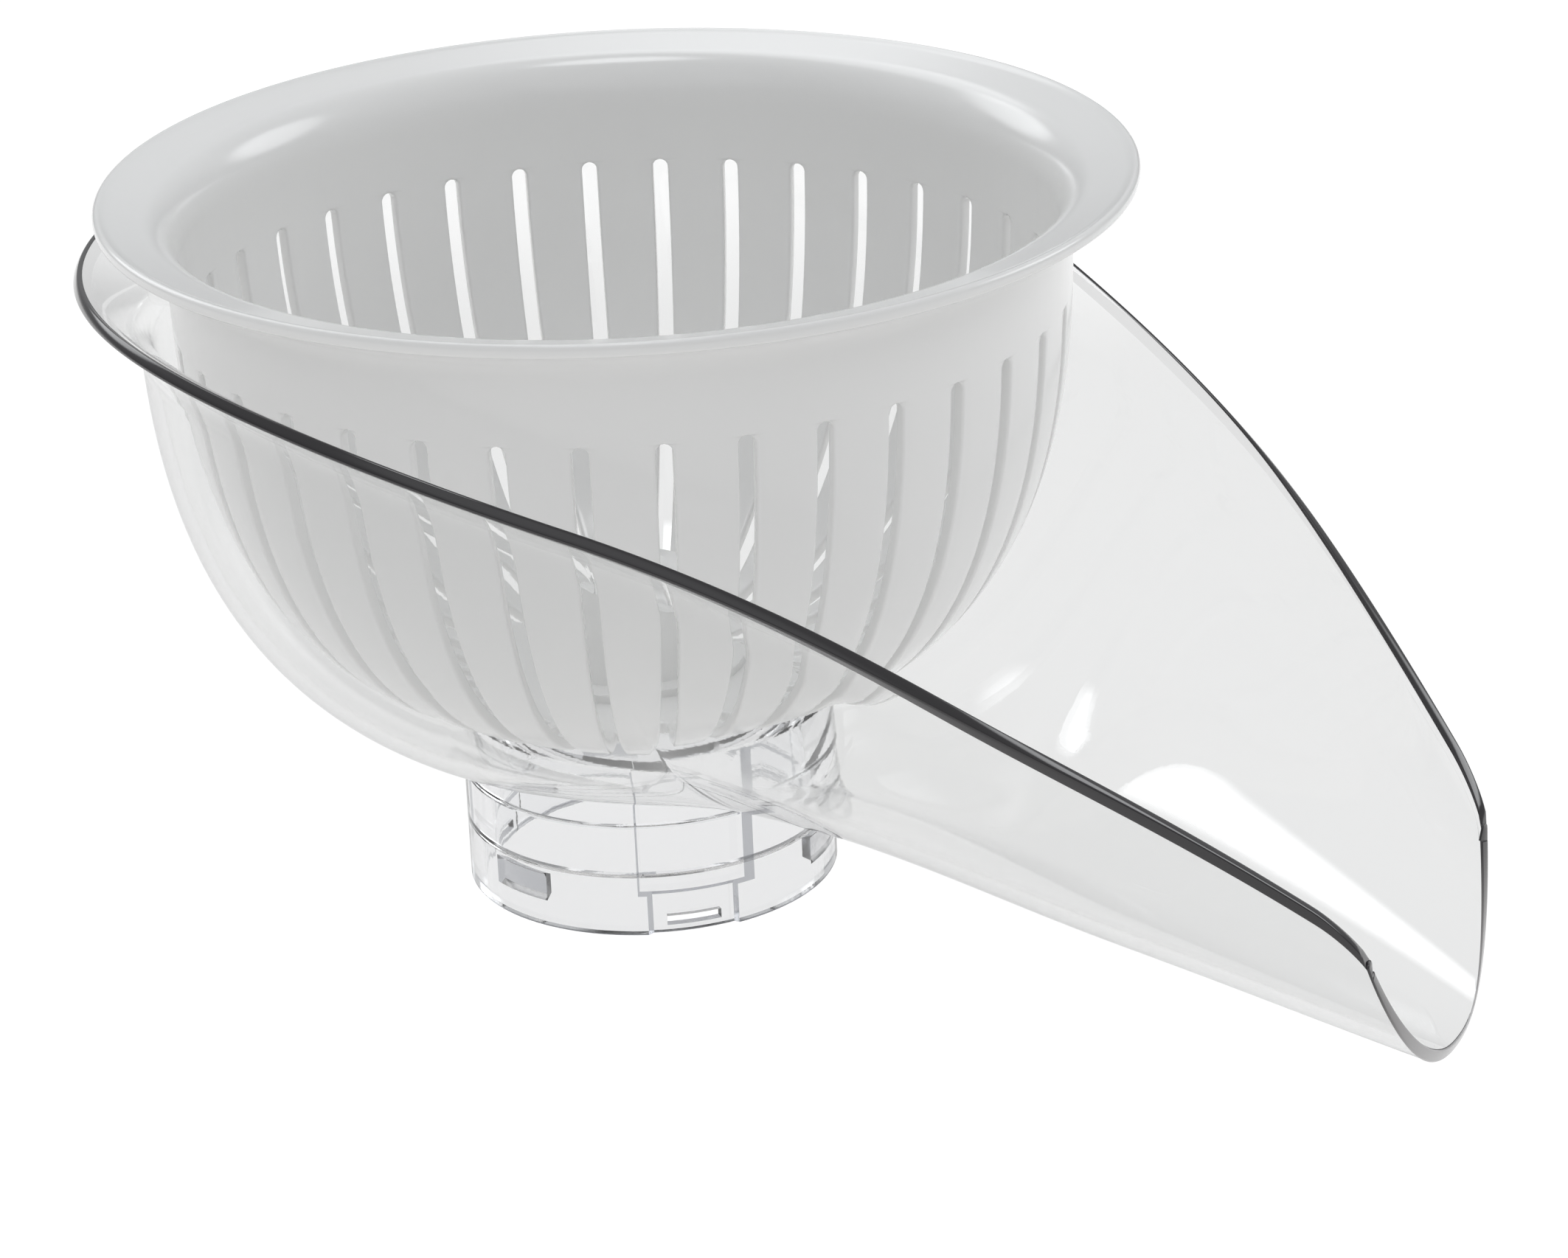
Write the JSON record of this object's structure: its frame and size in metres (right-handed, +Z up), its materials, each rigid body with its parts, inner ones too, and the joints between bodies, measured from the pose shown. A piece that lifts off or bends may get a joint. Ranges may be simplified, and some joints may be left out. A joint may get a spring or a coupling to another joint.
{
  "type": "salad spinner",
  "caption": "Slotted spinning basket on a driven spindle in a clear bowl with a long pouring spout and a clip-on foot collar",
  "frame": {"origin": "centre of the foot collar's lower face, on the spindle's axis", "axes": "+Z up along the spindle, +X along the pouring spout, +Y to the left of the spout"},
  "size_m": [0.3304, 0.2518, 0.1875],
  "materials": {
    "clear_bowl": "clear polished acrylic, dark where the cut edge is seen end on",
    "clear_collar": "clear moulded acrylic",
    "basket_white": "glossy opaque white",
    "acetal": "natural acetal",
    "seal_rubber": "translucent grey silicone",
    "spindle_steel": "ground stainless steel"
  },
  "bodies": {
    "bowl": {"pouring_bowl": "clear_bowl", "foot_collar": "clear_collar", "bearing_bush": "acetal", "shaft_seal": "seal_rubber"},
    "running_gear": {"spindle": "spindle_steel", "upper_washer": "spindle_steel", "drive_dog": "acetal", "drive_pin": "spindle_steel", "lower_washer": "spindle_steel", "drive_coupling": "acetal", "retaining_clip": "spindle_steel"},
    "basket_set": {"basket": "basket_white", "basket_hub": "basket_white", "drive_socket": "acetal", "hub_cap": "basket_white"}
  },
  "joints": [
    {"name": "basket_spin", "type": "hinge", "parent": "bowl", "child": "running_gear", "pos_m": [0, 0, 0.045], "axis": [0, 0, 1], "continuous": true},
    {"name": "basket_lift", "type": "slide", "parent": "running_gear", "child": "basket_set", "axis": [0, 0, 1], "range_m": [0, 0.17]}
  ]
}
